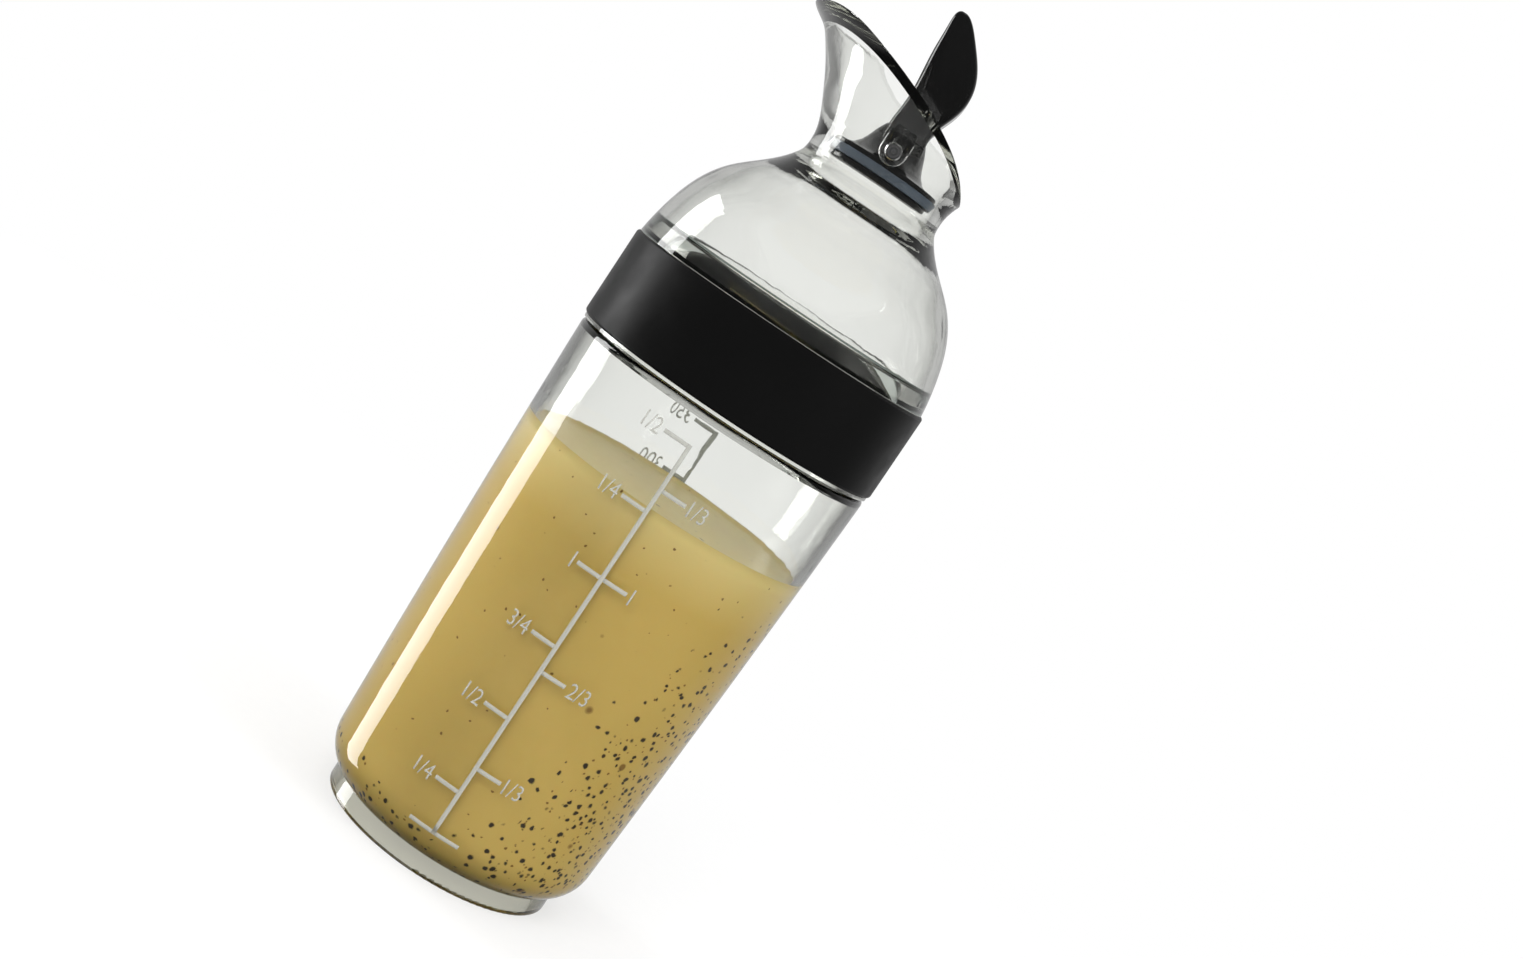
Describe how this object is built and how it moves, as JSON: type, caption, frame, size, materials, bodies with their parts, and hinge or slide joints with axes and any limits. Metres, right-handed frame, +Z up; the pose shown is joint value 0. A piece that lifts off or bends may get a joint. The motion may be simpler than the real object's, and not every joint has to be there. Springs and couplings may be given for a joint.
{
  "type": "salad dressing shaker bottle",
  "caption": "Clear shaker bottle with a measuring scale, a screw-on domed lid with a flared pouring spout, and a thumb lever that tilts the valve disc in its throat.",
  "frame": {"origin": "on the bottle's axis, in the plane that it stands on", "axes": "+Z up along the bottle's axis; the pouring lip points to -X, the lever swings back towards +X, and the lever's pin lies along Y"},
  "size_m": [0.075, 0.075, 0.2169],
  "materials": {
    "clear_plastic_container": "clear, polished",
    "silicone_rim": "satin silicone",
    "clear_plastic_lid": "clear, polished",
    "clear_plastic_spout": "clear, polished",
    "black_grip": "satin",
    "black_lever": "gloss",
    "grey_silicone": "satin silicone",
    "black_plate": "gloss",
    "steel_pin": "turned, bright"
  },
  "bodies": {
    "base": {"container": "clear_plastic_container"},
    "seal": {"rim_gasket": "silicone_rim"},
    "lid": {"lid_dome": "clear_plastic_lid", "spout": "clear_plastic_spout", "grip_sleeve": "black_grip", "pivot_pin": "steel_pin"},
    "valve": {"lever": "black_lever", "valve_gasket": "grey_silicone", "valve_plate": "black_plate"}
  },
  "joints": [
    {"name": "lid_lift", "type": "slide", "parent": "base", "child": "seal", "axis": [0, 0, 1], "range_m": [0, 0.024]},
    {"name": "lid_twist", "type": "hinge", "parent": "seal", "child": "lid", "pos_m": [0, 0, 0.13], "axis": [0, 0, 1], "range_deg": [0, 720]},
    {"name": "lever_swing", "type": "hinge", "parent": "lid", "child": "valve", "pos_m": [0, 0, 0.1832], "axis": [0, 1, 0], "range_deg": [0, 56]}
  ],
  "couplings": [
    {"joint": "lid_lift", "follows": "lid_twist", "m_per_rad": 0.0019099}
  ]
}
